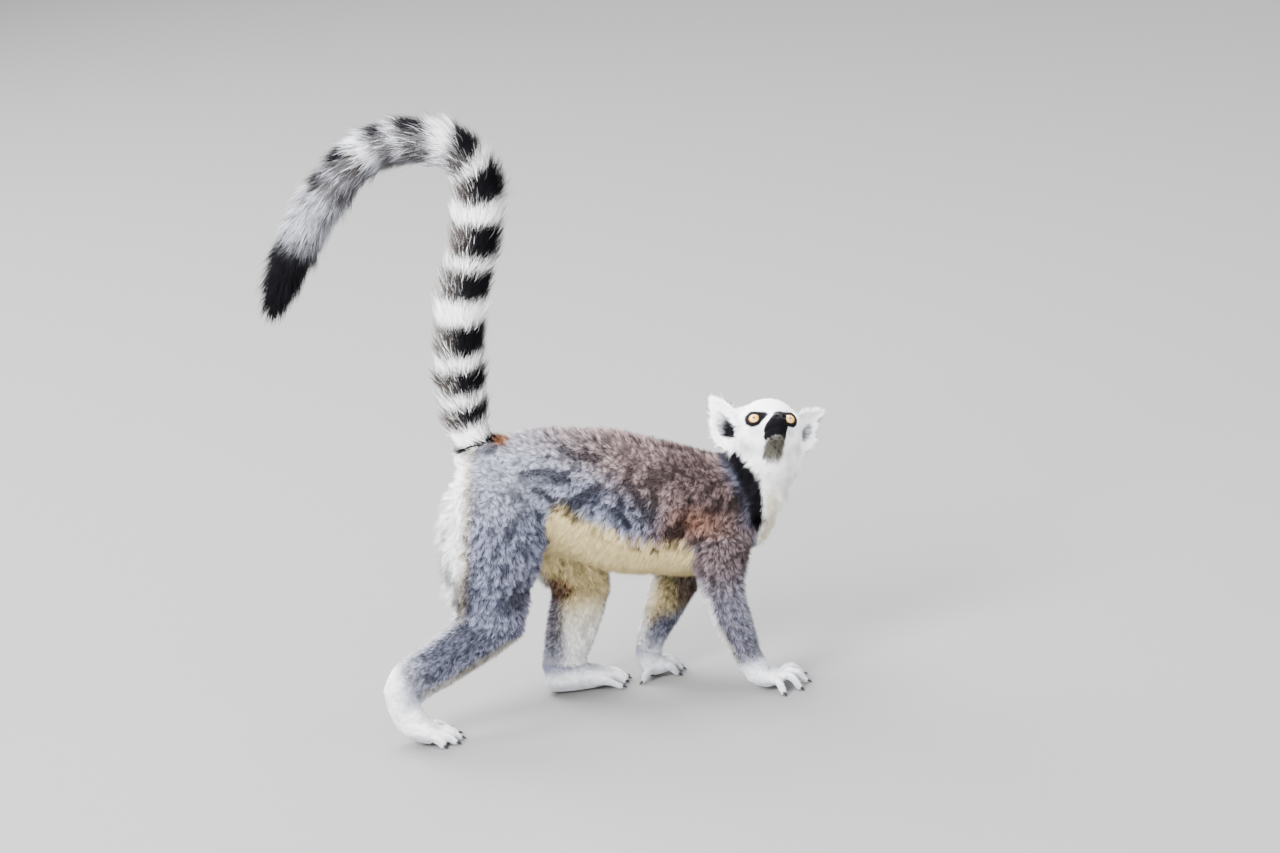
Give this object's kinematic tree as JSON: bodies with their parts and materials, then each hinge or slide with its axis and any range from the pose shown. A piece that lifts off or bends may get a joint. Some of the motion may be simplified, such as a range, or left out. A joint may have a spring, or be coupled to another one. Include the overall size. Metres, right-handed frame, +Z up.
{
  "type": "ring-tailed lemur",
  "caption": "Still, life-size ring-tailed lemur walking on all fours, head turned to its right and looking up, ringed tail raised and curled over at the top.",
  "frame": {"origin": "Middle of the animal's box, on the floor that its hands and feet stand on.", "axes": "+Z up from the floor to the top of the tail's arch; +X the way the body walks, from tail to chest; +Y towards the animal's left side, across its narrowest width."},
  "size_m": [0.5306, 0.1545, 0.6316],
  "materials": {
    "coat_grey": "blue-grey dense fur with dark roots and pale tips",
    "coat_brown": "reddish grey-brown dense fur",
    "coat_pale": "white to cream soft fur",
    "coat_dark": "black soft fur",
    "bare_skin": "black finely creased skin of nose, lids and pads",
    "claw": "dark smooth horn",
    "eye": "amber iris with a round black pupil under a clear wet cornea"
  },
  "bodies": {
    "root": {"head": "coat_pale", "neck": "coat_pale", "trunk": "coat_brown", "tail_root": "coat_pale", "tail_lower": "coat_dark", "tail_upper": "coat_pale", "tail_arch": "coat_dark", "tail_tip": "coat_grey", "thigh_right": "coat_grey", "shank_right": "coat_grey", "foot_right": "coat_pale", "thigh_left": "coat_grey", "shank_left": "coat_grey", "foot_left": "coat_pale", "upper_arm_right": "coat_brown", "forearm_right": "coat_grey", "hand_right": "coat_pale", "upper_arm_left": "coat_brown", "forearm_left": "coat_grey", "hand_left": "coat_pale", "ear_right": "coat_pale", "ear_left": "coat_pale", "eye_right": "eye", "eye_left": "eye"}
  },
  "joints": []
}
